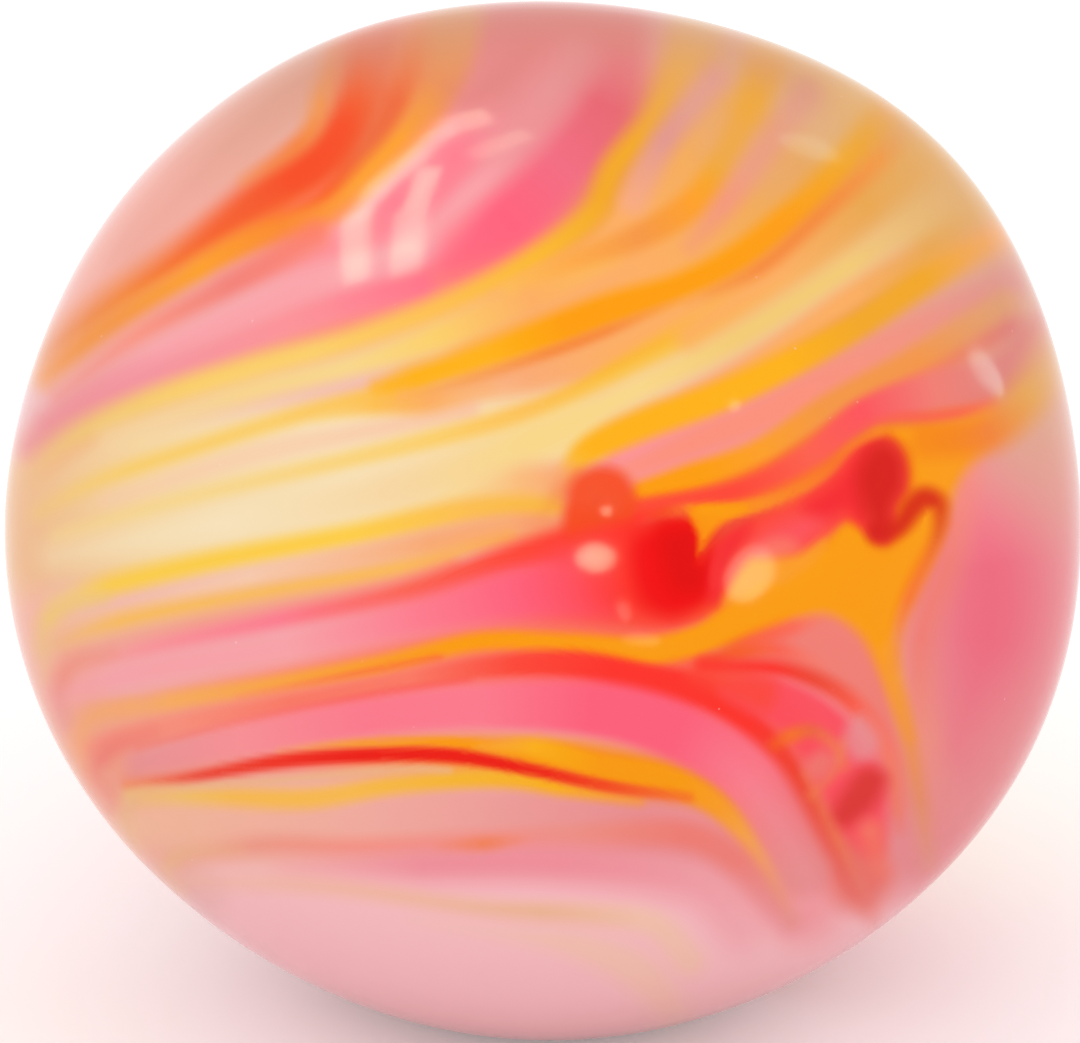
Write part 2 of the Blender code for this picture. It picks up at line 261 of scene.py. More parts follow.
# Streaks and patches in the order in which they are laid over each other
MARBLING = (
    # the bottom's pink pigment with painted light from below
    Streak("bottom_field", (MAUVE,), (1,), 60,
           ((150, 930, 90), (400, 960, 110), (700, 970, 110), (900, 900, 60))),
    Streak("left_low_field", (SHELL, BLUSH, NUDE, NUDE, PALE), (1,), 40,
           ((16, 560, 26), (40, 650, 40), (80, 740, 46), (130, 830, 40), (190, 900, 30))),
    Streak("lower_field", (SHELL, BLUSH, DUSK, ROSE), (1,), 40,
           ((140, 824, 24), (300, 826, 40), (500, 820, 40), (700, 830, 40), (800, 900, 40))),
    Streak("right_field", (STONE, DUSK, DUSK, DUSK), (1,), 60,
           ((1020, 420, 60), (1010, 560, 90), (985, 680, 90), (930, 830, 70))),
    Streak("right_core", (CANDY, FUCHSIA, FUCHSIA, FUCHSIA), (0.6, 1, 1, 0.5), 90,
           ((966, 480, 22), (990, 565, 46), (988, 640, 46), (958, 740, 24))),
    Streak("top_field", (HAZE, DUSK, PINK), (1,), 40,
           ((540, 10, 120), (530, 90, 110), (500, 180, 90))),
    Streak("top_left_field", (BLUSH, BLUSH, STONE), (1,), 40,
           ((60, 330, 25), (130, 240, 40), (220, 150, 45), (320, 60, 40))),
    Streak("upper_right_field", (CANTALOUPE, APRICOT, OCHRE, BUFF), (1,), 40,
           ((500, 360, 50), (660, 260, 90), (800, 150, 110), (880, 80, 90))),
    Streak("top_right_field", (STONE, BUFF, BUFF), (1,), 40,
           ((700, 20, 50), (800, 70, 50), (960, 210, 60))),
    Streak("right_upper_field", (PINK, FADED_SALMON, STONE), (1,), 30,
           ((640, 460, 40), (830, 380, 60), (1000, 290, 70))),
    Streak("cream_field", (SAND, CREAM, MILK, CREAM), (1,), 40,
           ((20, 520, 70), (150, 500, 80), (350, 470, 70), (560, 430, 40))),
    Streak("middle_under", (SALMON, MELON, POPPY, FLAME, ADOBE, ADOBE), (0.8, 1, 1, 1, 1, 0.8), 40,
           ((430, 606, 16), (560, 600, 36), (660, 576, 64), (760, 548, 52), (840, 500, 44),
            (920, 450, 36))),
    Streak("rim_under", (NUDE, NUDE, SALMON, SALMON, CLAY, TAN), (1,), 30,
           ((40, 452, 16), (150, 387, 20), (350, 325, 22), (530, 247, 24), (600, 180, 24), (690, 50, 24))),
    Streak("band_under", (NUDE, SALMON, CORAL, MELON, MELON, DULL_CORAL), (0.9, 1, 1, 1, 1, 0.8), 30,
           ((90, 728, 26), (270, 696, 34), (480, 660, 38), (650, 672, 40), (760, 720, 40),
            (860, 880, 30))),
    Streak("line_under", (FADED_SALMON, SALMON, TANGERINE, TANGERINE, ADOBE, FADED_SALMON),
           (0.8, 1, 1, 1, 1, 0.7), 30,
           ((130, 776, 12), (300, 757, 18), (480, 754, 20), (600, 766, 24), (720, 794, 18),
            (790, 880, 14))),
    Streak("red_top_band", (CLAY, ADOBE, EMBER, BRICK, RUST, TERRACOTTA), (0.9, 1, 1, 1, 1, 0.8), 30,
           ((45, 352, 12), (110, 306, 14), (190, 252, 16), (265, 198, 22), (335, 148, 26), (362, 95, 28),
            (375, 30, 34))),
    Streak("orange_between", (ADOBE, FLAME, EMBER, RUST, RUST, CLAY), (0.5, 0.9, 1, 1, 1, 0.9), 24,
           ((200, 262, 6), (270, 222, 12), (325, 192, 16), (368, 150, 18), (400, 100, 20), (425, 35, 22))),
    Streak("red_top_core", (RUST, BRICK, BRICK, EMBER), (0.2, 0.9, 0.9, 0.3), 24,
           ((190, 246, 7), (270, 192, 14), (325, 155, 16), (352, 110, 14), (362, 70, 10))),
    FrontStreak("red_top_pink_line", (CORAL,), (0.2, 0.5, 0.5, 0.2), 12,
                ((282, 216, 3), (300, 203, 4), (318, 191, 4), (336, 173, 3))),
    Streak("red_top_left_edge", (COPPER, ADOBE, COPPER, CLAY), (0.4, 0.9, 0.9, 0.5), 16,
           ((246, 180, 6), (288, 154, 8), (313, 128, 9), (324, 90, 9), (336, 50, 9))),
    Streak("amber_top_edge", (COPPER, COPPER, MARIGOLD, TANGERINE, MARIGOLD, MARIGOLD, CLAY, TAN),
           (0.8, 1, 1, 0.9, 1, 1, 1, 0.9), 18,
           ((45, 376, 11), (105, 328, 12), (180, 281, 11), (250, 242, 14), (330, 214, 14), (377, 171, 15),
            (416, 130, 18), (446, 74, 24), (456, 15, 28))),
    Streak("rose_ground", (PINK, PINK, CANDY, CANDY, DUSK), (0.6, 1, 1, 1, 0.6), 40,
           ((230, 285, 10), (314, 258, 18), (400, 208, 30), (460, 152, 34), (508, 100, 26))),
    Streak("salmon_under_amber", (FADED_SALMON, SALMON, FADED_CORAL, CORAL), (0.7, 0.9, 0.9, 0.8), 22,
           ((60, 395, 8), (140, 335, 12), (230, 285, 14), (316, 234, 14))),
    Streak("rose_left", (DUSK, ROSE, ROSE, ROSE), (0.9, 1, 1, 0.7), 26,
           ((50, 425, 14), (130, 372, 16), (220, 325, 16), (330, 280, 18), (400, 260, 10))),
    Streak("pink_left", (DUSK, ORCHID, PINK, CANDY), (0.9, 0.9, 1, 1), 22,
           ((30, 445, 12), (110, 395, 15), (210, 355, 14), (320, 312, 15), (420, 285, 14))),
    Streak("hot_pink", (CANDY, HOT_PINK, HOT_PINK, FUCHSIA, BERRY, HAZE), (0.4, 0.8, 1, 1, 0.9, 0.6), 44,
           ((350, 300, 8), (450, 262, 20), (510, 220, 34), (565, 165, 34), (608, 105, 34), (625, 40, 30))),
    Streak("rose_streak", (ROSE, DUSK, DUSTY), (0.6, 0.8, 0.5), 34,
           ((430, 230, 10), (490, 170, 18), (540, 110, 22), (580, 60, 20))),
    FrontStreak("rose_thread", (ROSE, ROSE, DUSK), (0.4, 0.8, 0.8, 0.3), 18,
                ((425, 236, 5), (462, 200, 8), (500, 165, 9), (535, 125, 8))),
    Streak("red_haze_top", (HAZE,), (0.8,), 50,
           ((470, 100, 14), (500, 78, 22), (530, 50, 12))),
    Streak("rim_yellow", (SAND, WHEAT, BUTTER, BUTTER, HONEY, GOLD, BRASS, BRASS, OCHRE, BUFF),
           (0.8, 0.9, 1, 1, 1, 1, 1, 1, 1, 1), 22,
           ((20, 488, 11), (70, 440, 12), (150, 402, 13), (250, 369, 13), (350, 341, 12), (450, 303, 12),
            (530, 261, 12), (592, 215, 13), (616, 166, 13), (656, 120, 14), (684, 70, 20), (702, 22, 28))),
    Streak("cream_under_rim", (CREAM, STRAW, STRAW, BUTTER, APRICOT, HONEY), (0.6, 0.9, 1, 1, 1, 0.6), 24,
           ((110, 436, 10), (240, 394, 12), (350, 366, 12), (440, 336, 16), (530, 294, 18),
            (610, 252, 12))),
    Streak("yellow_two", (WHEAT, BUTTER, BUTTER, HONEY), (0.5, 1, 1, 1), 18,
           ((40, 512, 6), (100, 480, 7), (200, 446, 8), (300, 414, 9), (390, 391, 9))),
    Streak("peach_between", (BISQUE, BISQUE, SHELL), (0.6, 0.8, 0.8), 20,
           ((110, 500, 8), (250, 455, 10), (380, 428, 10), (470, 408, 10))),
    Streak("amber_tail", (BUTTER, HONEY, APRICOT, APRICOT), (0.4, 1, 1, 0.7), 18,
           ((320, 416, 5), (376, 404, 10), (430, 400, 12), (490, 386, 8))),
    Streak("straw_three", (STRAW, STRAW, BUTTER, HONEY, GOLD, GOLD, HONEY, BUFF),
           (0.5, 0.9, 1, 1, 1, 1, 0.8, 0.5), 16,
           ((60, 535, 7), (200, 495, 8), (400, 447, 9), (500, 421, 10), (570, 395, 10), (640, 358, 14),
            (710, 318, 15), (785, 270, 11), (860, 225, 9))),
    Streak("cream_core", (MILK, MILK, CREAM, STRAW, STRAW, WHEAT, WHEAT, BUFF),
           (0.5, 1, 1, 1, 1, 1, 1, 0.8), 34,
           ((56, 556, 12), (230, 522, 18), (400, 488, 20), (530, 442, 20), (640, 388, 18), (740, 336, 18),
            (850, 266, 18), (960, 190, 26))),
    Streak("gold_right", (APRICOT, APRICOT, OCHRE, BUFF), (0.9, 1, 1, 0.9), 30,
           ((690, 334, 12), (780, 268, 18), (865, 200, 24), (945, 130, 32))),
    Streak("orange_main", (AMBER, AMBER, AMBER, ORANGE, ORANGE, ORANGE, ORANGE, BRASS, OCHRE),
           (0.8, 1, 1, 1, 1, 1, 1, 1, 0.8), 20,
           ((378, 386, 6), (412, 379, 13), (470, 360, 13), (540, 335, 16), (610, 309, 16), (680, 286, 13),
            (740, 256, 14), (800, 208, 14), (850, 158, 15), (885, 115, 16))),
    Streak("orange_main_lower_edge", (APRICOT, COPPER, ADOBE, ADOBE, COPPER),
           (0.6, 0.7, 0.9, 0.8, 0.3), 12,
           ((402, 396, 4), (470, 380, 5), (545, 355, 6), (610, 330, 6), (680, 300, 4))),
    Streak("orange_right_lower_edge", (COPPER, ADOBE, ADOBE, COPPER, TAN), (0.5, 0.9, 0.9, 0.9, 0.4), 18,
           ((690, 302, 5), (760, 268, 7), (822, 214, 8), (878, 160, 10), (906, 126, 10))),
    Streak("salmon_beneath", (SHELL, CANTALOUPE, APRICOT, APRICOT), (0, 0.8, 0.8, 0.6), 20,
           ((440, 396, 8), (530, 377, 12), (610, 352, 10), (700, 306, 9))),
    Streak("amber_second", (HONEY, PAPAYA, COPPER, MARIGOLD, BRASS, BRASS, OCHRE, BUFF),
           (0.7, 0.9, 1, 1, 1, 1, 0.9, 0.8), 18,
           ((510, 286, 6), (570, 262, 9), (640, 236, 13), (694, 203, 15), (722, 165, 14), (745, 118, 15),
            (764, 72, 20), (776, 30, 24))),
    Streak("pink_gap", (NUDE, DUSTY, DUSTY), (0.7, 0.9, 0.7), 22,
           ((635, 200, 14), (665, 140, 14), (715, 80, 14))),
    Streak("pink_gap_two", (FADED_SALMON, FADED_SALMON, DUSTY), (0.4, 0.8, 0.7, 0.6), 22,
           ((692, 245, 8), (724, 205, 12), (765, 150, 14), (805, 95, 16))),
    FrontStreak("top_right_haze", (STONE,), (0.3,), 40,
                ((705, 105, 24), (735, 140, 34), (775, 160, 34), (812, 118, 24))),
    Streak("tongue_under", (EMBER, FLAME, FLAME, RUST, CARAMEL), (1,), 18,
           ((640, 506, 10), (730, 498, 14), (810, 468, 16), (880, 424, 16), (990, 404, 14))),
    Streak("orange_fourth_fringe", (APRICOT, APRICOT, APRICOT, OCHRE, BUFF), (0.4, 0.9, 1, 0.9, 0.6), 18,
           ((690, 392, 6), (760, 358, 9), (850, 298, 12), (930, 249, 13), (990, 206, 12))),
    Streak("orange_fourth", (GOLD, AMBER, AMBER, AMBER, AMBER, BRASS, BRASS, APRICOT),
           (0.8, 1, 1, 1, 1, 1, 1, 0.7), 17,
           ((567, 473, 9), (592, 448, 14), (650, 421, 16), (720, 396, 16), (790, 363, 15), (860, 323, 15),
            (925, 279, 15), (1000, 234, 14))),
    Streak("pink_fourth", (SALMON, SALMON, SALMON, FADED_SALMON, DUSTY), (0.8, 1, 1, 1, 0.8), 18,
           ((625, 472, 9), (700, 440, 12), (800, 398, 14), (910, 333, 13), (1010, 283, 16))),
    Streak("fifth_under", (FLAME, FLAME, ADOBE, CARAMEL, HAZE), (1,), 20,
           ((636, 500, 8), (750, 470, 12), (835, 425, 13), (920, 375, 14), (1010, 325, 14))),
    Streak("orange_fifth", (ORANGE, ORANGE, MARIGOLD, COPPER, COPPER, TAN), (1, 1, 1, 1, 0.9, 0.7), 15,
           ((642, 490, 9), (690, 477, 13), (760, 451, 12), (830, 405, 12), (920, 357, 14),
            (1005, 303, 14))),
    Streak("red_fifth", (POPPY, POPPY, MELON, CHERRY, FADED_CORAL, HAZE, HAZE),
           (0.9, 1, 1, 1, 1, 0.9, 0.6), 14,
           ((638, 508, 9), (740, 489, 10), (810, 455, 13), (865, 413, 15), (935, 390, 20), (1005, 374, 22),
            (1058, 322, 22))),
    Streak("peach_middle", (STRAW, PEACH, CANTALOUPE), (0.4, 1, 1), 28,
           ((455, 496, 10), (520, 485, 19), (558, 479, 15))),
    Streak("five_under", (NUDE, NUDE, NUDE, SALMON), (0.7, 1, 1, 0.8), 20,
           ((70, 652, 10), (200, 622, 12), (330, 592, 12), (450, 562, 10))),
    Streak("yellow_four", (STRAW, YELLOW, YELLOW, YELLOW, HONEY, GOLD), (0.4, 1, 1, 1, 1, 0.9), 20,
           ((55, 602, 6), (110, 585, 10), (220, 559, 10), (350, 535, 11), (470, 510, 13), (556, 506, 11))),
    Streak("peach_four", (SHELL, BISQUE, CANTALOUPE, CANTALOUPE, CARAMEL), (0.7, 0.9, 1, 1, 0.8), 20,
           ((60, 626, 8), (250, 578, 9), (430, 543, 12), (510, 530, 16), (565, 530, 14))),
    Streak("amber_five", (SAND, HONEY, HONEY, HONEY, PAPAYA), (0.7, 0.9, 0.9, 0.9, 0.6), 18,
           ((45, 648, 8), (120, 621, 8), (250, 594, 7), (400, 567, 7), (510, 536, 6))),
    Streak("red_five", (NUDE, PINK, CANDY, MELON, POPPY, RED), (0.6, 1, 1, 1, 1, 1), 20,
           ((60, 673, 9), (150, 648, 10), (280, 620, 11), (410, 593, 13), (520, 557, 16), (610, 540, 24))),
    Streak("pink_five", (ROSE, ROSE, ROSE, CANDY, HOT_PINK, NEON), (0.8, 1, 1, 1, 1, 1), 26,
           ((70, 690, 14), (160, 668, 15), (290, 645, 17), (420, 616, 20), (520, 594, 26),
            (610, 590, 26))),
    FrontStreak("mushroom_glow", (COPPER, CARAMEL), (0.3, 0.7, 0.6), 20,
                ((546, 512, 6), (560, 494, 9), (576, 474, 6))),
    FrontStreak("mushroom", (BRICK, BRICK, RED, RED), (0.93, 1, 1, 0.6), 20,
                ((602, 500, 35), (602, 518, 38), (608, 540, 38), (618, 566, 34))),
    FrontStreak("heart_top", (SIGNAL, SCARLET, CRIMSON), (0.2, 0.9, 0.9), 22,
                ((636, 536, 9), (664, 526, 9), (690, 527, 8))),
    FrontStreak("red_heart", (HOT_PINK, NEON, RED, SCARLET, CRIMSON), (0.3, 0.8, 1, 1, 1), 34,
                ((505, 590, 14), (570, 580, 32), (625, 572, 44), (668, 568, 44), (694, 562, 30))),
    Patch("crimson_heart", CRIMSON, 0.85, 30,
          ((638, 540), (668, 526), (694, 525), (714, 550), (724, 580), (706, 606), (672, 614), (644, 598),
           (634, 565))),
    Patch("crimson_core", BLOOD, 0.85, 34,
          ((664, 536), (690, 527), (705, 548), (714, 572), (700, 592), (676, 588), (664, 560))),
    FrontStreak("heart_line", (RED, BRICK, TANGERINE), (0.8, 0.9, 0.8), 12,
                ((640, 517, 5), (666, 511, 4), (690, 507, 4))),
    Streak("right_inner", (SALMON, FADED_CORAL, FADED_CORAL, FADED_SALMON, DUSK), (0.7, 1, 1, 1, 0.6), 34,
           ((972, 470, 8), (950, 560, 12), (922, 640, 14), (926, 740, 14), (944, 840, 12))),
    Patch("hill", FADED_CORAL, 0.95, 22,
          ((728, 668), (752, 640), (800, 613), (832, 608), (864, 624), (886, 655), (896, 700), (908, 780),
           (900, 830), (880, 760), (866, 715), (836, 688), (780, 668))),
    Patch("orange_field", ORANGE, 1, 20,
          ((705, 636), (725, 606), (770, 584), (800, 562), (830, 538), (850, 512), (858, 464), (878, 430),
           (930, 424), (988, 413), (1000, 430), (962, 475), (946, 520), (932, 558), (904, 610), (894, 660),
           (904, 705), (911, 738), (899, 714), (882, 672), (861, 634), (830, 614), (797, 620),
           (750, 642))),
    FrontStreak("orange_tail", (MARIGOLD, COPPER, CLAY, TAN), (0.9, 0.9, 0.8, 0.3), 18,
                ((888, 650, 9), (909, 735, 7), (921, 800, 7), (930, 862, 6))),
    Streak("orange_right_arm", (PUMPKIN, ADOBE, OCHRE, BUFF), (0.6, 1, 0.9, 0.7), 24,
           ((930, 440, 18), (990, 432, 18), (1030, 395, 20), (1058, 350, 20))),
    FrontStreak("orange_field_edge", (FLAME, FLAME, ADOBE), (0.4, 0.9, 0.4), 18,
                ((946, 524, 5), (920, 576, 8), (902, 622, 6), (898, 664, 4))),
    FrontStreak("red_fifth_edge", (MELON,), (0.3, 0.9, 0.9, 0.3), 10,
                ((864, 423, 3), (897, 416, 4), (933, 416, 4), (968, 410, 4), (988, 401, 3))),
    Patch("tongue", POPPY, 1, 13,
          ((714, 588), (716, 556), (737, 523), (790, 503), (832, 474), (852, 450), (874, 436), (896, 440),
           (908, 463), (908, 488), (898, 506), (898, 522), (888, 543), (870, 536), (850, 520), (828, 534),
           (800, 556), (770, 566), (735, 580))),
    Patch("tongue_pink", CHERRY, 0.95, 34,
          ((738, 572), (765, 532), (806, 512), (834, 506), (826, 526), (806, 546), (780, 560))),
    Patch("tongue_blush", CORAL, 0.8, 20,
          ((752, 560), (770, 540), (790, 538), (800, 548), (782, 560), (765, 566))),
    Patch("tongue_neck", CARMINE, 0.95, 26,
          ((804, 506), (832, 484), (856, 456), (874, 444), (872, 480), (868, 520), (856, 520), (846, 512),
           (826, 518))),
    Patch("tongue_head", WINE, 0.95, 30,
          ((858, 480), (868, 450), (886, 440), (904, 455), (906, 485), (895, 510), (894, 534), (880, 540),
           (866, 514))),
    Patch("tongue_root", CARMINE, 0.9, 24,
          ((710, 598), (712, 558), (724, 532), (752, 520), (744, 548), (732, 576), (720, 600))),
    FrontStreak("tongue_edge", (SCARLET, BRICK_RED, POPPY), (0.9, 0.9, 0.5), 10,
                ((700, 562, 5), (712, 543, 5), (732, 525, 5), (765, 512, 4), (800, 496, 4))),
    Patch("orange_tip", MARIGOLD, 0.95, 16,
          ((726, 604), (736, 577), (750, 560), (770, 558), (800, 553), (826, 540), (815, 565),
           (765, 596))),
    FrontStreak("hook", (WINE, MAROON, MAROON, RUSSET, FLAME), (0.9, 1, 1, 0.8, 0.2), 16,
                ((878, 532, 10), (900, 526, 9), (914, 507, 11), (926, 498, 11), (940, 505, 9),
                 (940, 528, 6), (930, 556, 4), (910, 592, 3))),
    FrontStreak("tongue_outline", (ORANGE, TANGERINE, FLAME, TANGERINE), (1, 1, 0.9, 0.7), 8,
                ((704, 509, 4), (740, 509, 7), (790, 493, 5), (826, 471, 5), (852, 446, 4),
                 (880, 431, 5))),
    Patch("cusp", ORANGE, 0.9, 11,
          ((690, 508), (716, 503), (748, 507), (720, 525), (706, 545), (699, 552), (699, 535))),
    Streak("orange_six", (NUDE, APRICOT, PAPAYA, MARIGOLD, ORANGE, ORANGE, ORANGE, ORANGE, ORANGE),
           (0.6, 1, 1, 1, 1, 1, 1, 1, 1), 14,
           ((82, 719, 9), (170, 701, 9), (270, 684, 8), (380, 664, 9), (480, 641, 9), (570, 643, 10),
            (650, 650, 14), (715, 634, 15), (770, 606, 22))),
    Streak("red_seven", (SALMON, SALMON, CORAL, CORAL, POPPY, RED, RED, RED, BRICK_RED, DULL_CORAL,
                         FADED_CORAL),
           (0.8, 1, 1, 1, 1, 1, 1, 1, 1, 0.9, 0.3), 13,
           ((88, 747, 10), (170, 727, 11), (270, 708, 10), (380, 687, 10), (480, 668, 11), (570, 664, 14),
            (650, 681, 17), (715, 698, 17), (766, 741, 15), (811, 808, 14), (851, 876, 10),
            (876, 920, 9))),
    FrontStreak("oval_crown", (BRICK, EMBER, MELON, CORAL), (0.6, 1, 0.9, 0.3), 18,
                ((704, 662, 6), (742, 650, 9), (782, 650, 8), (824, 666, 6))),
    FrontStreak("hill_top", (EMBER, MELON, CORAL), (0.5, 0.9, 0.9, 0.2), 16,
                ((730, 650, 5), (752, 640, 7), (795, 626, 8), (826, 616, 4))),
    Streak("red_seven_lower", (MELON, MELON, POPPY), (0.4, 0.9, 0.5), 8,
           ((140, 748, 3), (260, 718, 4), (390, 692, 4), (470, 680, 3))),
    Streak("red_seven_upper", (CORAL, MELON, POPPY), (0.2, 0.5, 0.4), 8,
           ((240, 696, 3), (340, 676, 3), (440, 656, 3))),
    Streak("pink_eight", (DUSK, PINK, CANDY, CANDY, HOT_PINK, HOT_PINK, CANDY, DUSK),
           (0.8, 1, 1, 1, 1, 1, 0.9, 0.7), 18,
           ((140, 762, 12), (240, 740, 18), (360, 718, 20), (480, 706, 24), (590, 708, 28), (680, 732, 30),
            (752, 780, 30), (806, 870, 26))),
    Streak("amber_over_line", (APRICOT, MARIGOLD, ORANGE, ORANGE), (0.4, 0.9, 1, 0.9), 9,
           ((280, 751, 3), (360, 743, 4), (470, 743, 5), (560, 762, 5))),
    Streak("yellow_eleven", (WHEAT, HONEY, HONEY, GOLD, AMBER, MARIGOLD), (0.8, 1, 1, 1, 1, 0.7), 15,
           ((132, 795, 7), (220, 796, 9), (310, 798, 10), (400, 784, 9), (500, 778, 9), (570, 789, 7),
            (640, 800, 5))),
    Streak("peach_line", (SAND,), (0.8,), 9,
           ((150, 787, 3), (260, 781, 4), (400, 769, 4), (450, 770, 3))),
    Streak("orange_ten", (PAPAYA, AMBER, ORANGE, ORANGE, MARIGOLD, APRICOT, NUDE),
           (0.6, 1, 1, 1, 1, 0.9, 0.6), 13,
           ((480, 746, 4), (535, 747, 9), (600, 766, 13), (670, 780, 14), (722, 808, 11), (762, 862, 7),
            (792, 920, 6))),
    Streak("dark_line", (CARAMEL, BRICK_RED, SIGNAL, SCARLET, SCARLET, SCARLET, BRICK, FLAME),
           (0.7, 1, 1, 1, 1, 1, 1, 0.8), 8,
           ((128, 784, 3), (200, 775, 5), (280, 761, 7), (360, 755, 7), (450, 755, 7), (530, 769, 6),
            (610, 786, 6), (690, 797, 5))),
    Streak("faint_red", (NUDE, FADED_SALMON, SALMON, SALMON, FADED_SALMON, FADED_CORAL, FADED_CORAL, DUSK),
           (0.4, 0.8, 0.9, 0.9, 0.9, 0.9, 0.8, 0.5), 22,
           ((170, 860, 8), (260, 845, 8), (360, 847, 8), (480, 842, 9), (570, 838, 12), (680, 834, 15),
            (740, 862, 15), (790, 920, 12))),
    Streak("pink_under", (ROSE, ORCHID, ORCHID, ORCHID, ORCHID), (0.4, 1, 1, 0.65, 0.4), 40,
           ((290, 866, 10), (420, 864, 16), (560, 862, 20), (690, 884, 20), (740, 930, 18))),
    Streak("faint_orange_core", (CARAMEL,), (0.2, 0.9, 0.2), 14,
           ((440, 846, 3), (486, 843, 6), (526, 839, 3))),
    Streak("faint_yellow_two", (BISQUE,), (0.2, 0.6, 0.5), 24,
           ((410, 920, 3), (500, 932, 6), (580, 946, 12), (640, 972, 18), (675, 1012, 16))),
    Streak("bottom_edge", (PALE,), (0.6,), 60,
           ((300, 1010, 14), (540, 1046, 14), (780, 1000, 14))),
    Streak("faint_yellow", (SHELL, SHELL, SAND, BISQUE, BISQUE), (0.4, 0.8, 0.8, 0.7, 0.6), 20,
           ((190, 880, 8), (330, 887, 7), (480, 907, 7), (590, 914, 10), (655, 924, 13), (690, 960, 15))),
    Streak("corner_yellow", (WHEAT, WHEAT, SAND), (0.6, 0.9, 0.5), 16,
           ((104, 596, 7), (62, 608, 10), (44, 632, 9), (46, 676, 7))),
    Streak("corner_salmon", (FADED_SALMON, FADED_SALMON, DUSK), (0.5, 0.9, 0.5), 16,
           ((112, 652, 6), (74, 664, 8), (59, 692, 8), (64, 724, 7))),
    Streak("corner_amber", (APRICOT, CANTALOUPE, CANTALOUPE), (0.5, 0.9, 0.5), 16,
           ((132, 704, 6), (94, 716, 8), (80, 744, 8), (92, 778, 7))),
    Streak("corner_coral", (FADED_CORAL, FADED_CORAL, FADED_SALMON), (0.5, 0.9, 0.5), 18,
           ((152, 734, 8), (114, 748, 10), (97, 772, 9), (114, 804, 8))),
    Streak("corner_gold", (PEACH, SAND, SAND), (0.5, 0.9, 0.5), 14,
           ((172, 792, 5), (140, 796, 7), (127, 816, 7), (136, 846, 6))),
    Streak("corner_faint", (SAND,), (0.3, 0.8, 0.4), 16,
           ((240, 850, 5), (188, 852, 7), (168, 870, 7), (180, 894, 6))),
    FrontStreak("oval_rim", (RED, RED, BRICK_RED, MELON, CORAL, CARAMEL), (0.8, 1, 1, 1, 0.8, 0.4), 16,
                ((704, 666, 8), (764, 667, 8), (800, 674, 9), (839, 692, 10), (869, 721, 10),
                 (890, 759, 8), (897, 810, 5))),
    Patch("oval_inside", NEON, 0.95, 20,
          ((720, 690), (765, 676), (802, 684), (836, 704), (864, 734), (888, 788), (880, 854), (846, 835),
           (820, 790), (785, 735))),
    FrontStreak("oval_orange", (EMBER, FLAME, RUST, CARAMEL, CARAMEL), (0.8, 1, 0.9, 0.8, 0.5), 14,
                ((776, 744, 6), (792, 735, 7), (814, 731, 6), (834, 744, 5), (846, 766, 5))),
    Patch("oval_root", POPPY, 0.8, 26,
          ((690, 676), (735, 674), (775, 682), (770, 708), (745, 704))),
    FrontStreak("oval_line", (CARAMEL,), (0.7, 0.5), 12,
                ((845, 742, 4), (834, 772, 5), (812, 796, 4))),
    Patch("oval_blush", FADED_CORAL, 0.8, 18,
          ((806, 762), (822, 750), (836, 760), (826, 778), (812, 778))),
    Patch("oval_pale", DUSK, 0.85, 20,
          ((846, 732), (862, 714), (880, 738), (870, 760), (852, 756))),
    Patch("oval_dark", GARNET, 0.9, 22,
          ((834, 810), (846, 789), (860, 771), (876, 768), (887, 778), (879, 799), (863, 816), (846, 826),
           (835, 821))),
    FrontStreak("oval_low", (CORAL,), (0.9, 0.6), 20,
                ((872, 832, 12), (880, 870, 10))),
    FrontStreak("oval_stripe", (CARAMEL, CARAMEL, FADED_SALMON), (0.4, 0.6, 0.3), 12,
                ((806, 774, 4), (838, 838, 5), (866, 894, 4))),
    Streak("top_shade", (SHADE,), (0.15, 0.32, 0.35, 0.35, 0.3), 60,
           ((130, 250, 8), (280, 96, 14), (400, 38, 20), (540, 12, 20), (680, 28, 20), (810, 80, 14))),
)


class Wave(NamedTuple):
    """A wave through the ball that warps the back's bands."""

    right: float  # radians a millimetre
    up: float
    towards: float
    phase: float  # radians
    height: float  # millimetres


WAVES_ACROSS = (Wave(0, 0.21, 0.16, 0.7, 5), Wave(-0.24, 0.37, 0, 2.1, 3))
WAVES_UP = (Wave(0.19, 0, -0.14, 1.9, 5), Wave(0.33, 0.28, 0, 0.4, 3))
BACK_TURN = math.radians(100)
FRONT_FADE = 0.3  # cosine of the angle to the view over which what is only on the front ends
CURVE_STEPS = 10  # between two of a curve's points
REACH_SPARE = 1.3  # for a curve that swings out past its points
TINY = 1e-12  # keeps a division from being by zero
EDGE_BLUR = 12  # the picture's pixels by which streaks blur more at the edge of the view
EDGE_BLUR_POWER = 4
BACK_BLUR = 20  # the same at the middle of the back

# Gloss that lies over the colours as they are seen, as a share of white, in the middle and at the edge
VEIL_MIDDLE = 0.012
VEIL_EDGE = 0.16
VEIL_POWER = 14

PAINT_LAYER = "Marbling"


class Pattern(NamedTuple):
    """A noise pattern."""

    size: float  # of its features
    detail: float = 2  # how many finer layers of noise lie over it


class Finish(NamedTuple):
    """What light shows of a surface besides its colour."""

    mottle: Pattern  # by which the roughness varies
    roughness: tuple  # lowest and highest
    relief: Pattern
    depth: float  # of the relief
    ior: float
    specular: float


